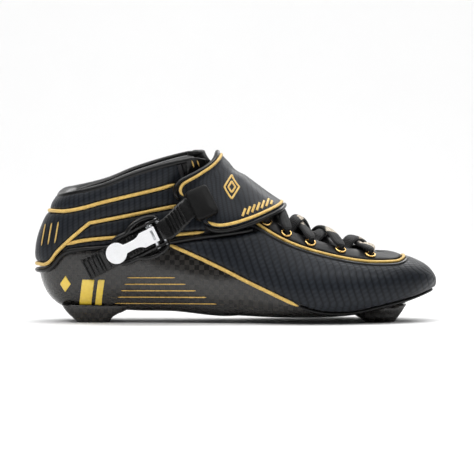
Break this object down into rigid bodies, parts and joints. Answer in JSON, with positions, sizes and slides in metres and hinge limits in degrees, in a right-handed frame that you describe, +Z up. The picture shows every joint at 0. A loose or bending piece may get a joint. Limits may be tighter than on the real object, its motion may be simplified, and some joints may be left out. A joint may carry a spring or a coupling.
{
  "type": "speed skating boot",
  "caption": "Low-cut speed skating boot, right foot: carbon shell with two flat mounting blocks, laced upper, instep strap and ratchet buckle.",
  "frame": {"origin": "centre of the heel mounting plate's lower face", "axes": "+X forward to the toe, +Y to the inner (medial) side of the foot, +Z up; both mounting faces lie in Z = 0"},
  "size_m": [0.2752, 0.1007, 0.1167],
  "materials": {
    "carbon": "gloss clear-coated carbon fibre",
    "alloy_plate": "machined",
    "lining": "fine black lining cloth",
    "foam": "covered heat-mouldable foam",
    "carbon_leather": "satin, embossed in a twill pattern",
    "black_trim": "gloss rolled edge",
    "gold_cord": "twisted satin cord",
    "gold_eyelet": "polished",
    "lace_cord": "waxed flat braid",
    "hard_plastic": "satin moulded",
    "polished_alloy": "polished",
    "steel": "plain"
  },
  "bodies": {
    "boot": {"achilles_pad": "foam", "anchor_nut": "steel", "anchor_screw": "steel", "anchor_strap": "hard_plastic", "ankle_pad_lateral": "foam", "ankle_pad_medial": "foam", "buckle_base": "hard_plastic", "buckle_rivet": "steel", "carbon_shell": "carbon", "collar_binding": "black_trim", "cuff_binding": "black_trim", "cuff_edge_panel_lateral": "carbon_leather", "cuff_edge_panel_medial": "carbon_leather", "cuff_lower_panel_lateral": "carbon_leather", "cuff_lower_panel_medial": "carbon_leather", "cuff_middle_panel": "carbon_leather", "cuff_top_panel": "carbon_leather", "eyelet_lateral_1": "gold_eyelet", "eyelet_lateral_2": "gold_eyelet", "eyelet_lateral_3": "gold_eyelet", "eyelet_lateral_4": "gold_eyelet", "eyelet_lateral_5": "gold_eyelet", "eyelet_medial_1": "gold_eyelet", "eyelet_medial_2": "gold_eyelet", "eyelet_medial_3": "gold_eyelet", "eyelet_medial_4": "gold_eyelet", "eyelet_medial_5": "gold_eyelet", "eyestay": "carbon_leather", "footbed": "lining", "heel_mount_plate": "alloy_plate", "lace": "lace_cord", "lever_pin": "steel", "lever_spring": "steel", "liner": "lining", "pawl_pin": "steel", "pawl_spring": "steel", "piping_branch_lateral": "gold_cord", "piping_branch_medial": "gold_cord", "piping_diagonal_lateral": "gold_cord", "piping_diagonal_medial": "gold_cord", "piping_heel": "gold_cord", "piping_throat": "gold_cord", "piping_top": "gold_cord", "strap_anchor": "black_trim", "toe_mount_plate": "alloy_plate", "tongue": "lining", "vamp": "carbon_leather", "vamp_binding": "black_trim"},
    "strap": {"instep_strap": "carbon_leather", "strap_pad": "foam", "strap_piping_front": "gold_cord", "strap_piping_back": "gold_cord", "keeper": "hard_plastic", "ladder": "hard_plastic"},
    "lever": {"buckle_lever": "polished_alloy"},
    "pawl": {"release_pawl": "polished_alloy"}
  },
  "joints": [
    {"name": "strap_slide", "type": "slide", "parent": "boot", "child": "strap", "axis": [0.894, 0.0587, 0.4442], "range_m": [0, 0.02]},
    {"name": "lever_lift", "type": "hinge", "parent": "boot", "child": "lever", "pos_m": [0.0417, -0.04588, 0.0599], "axis": [-0.4468, 0.0425, 0.8936], "range_deg": [0, 65], "stiffness_Nm_per_rad": 0.01},
    {"name": "release_pawl_tilt", "type": "hinge", "parent": "boot", "child": "pawl", "pos_m": [0.04694, -0.04444, 0.06245], "axis": [-0.4468, 0.0425, 0.8936], "range_deg": [0, 12], "stiffness_Nm_per_rad": 0.01}
  ]
}
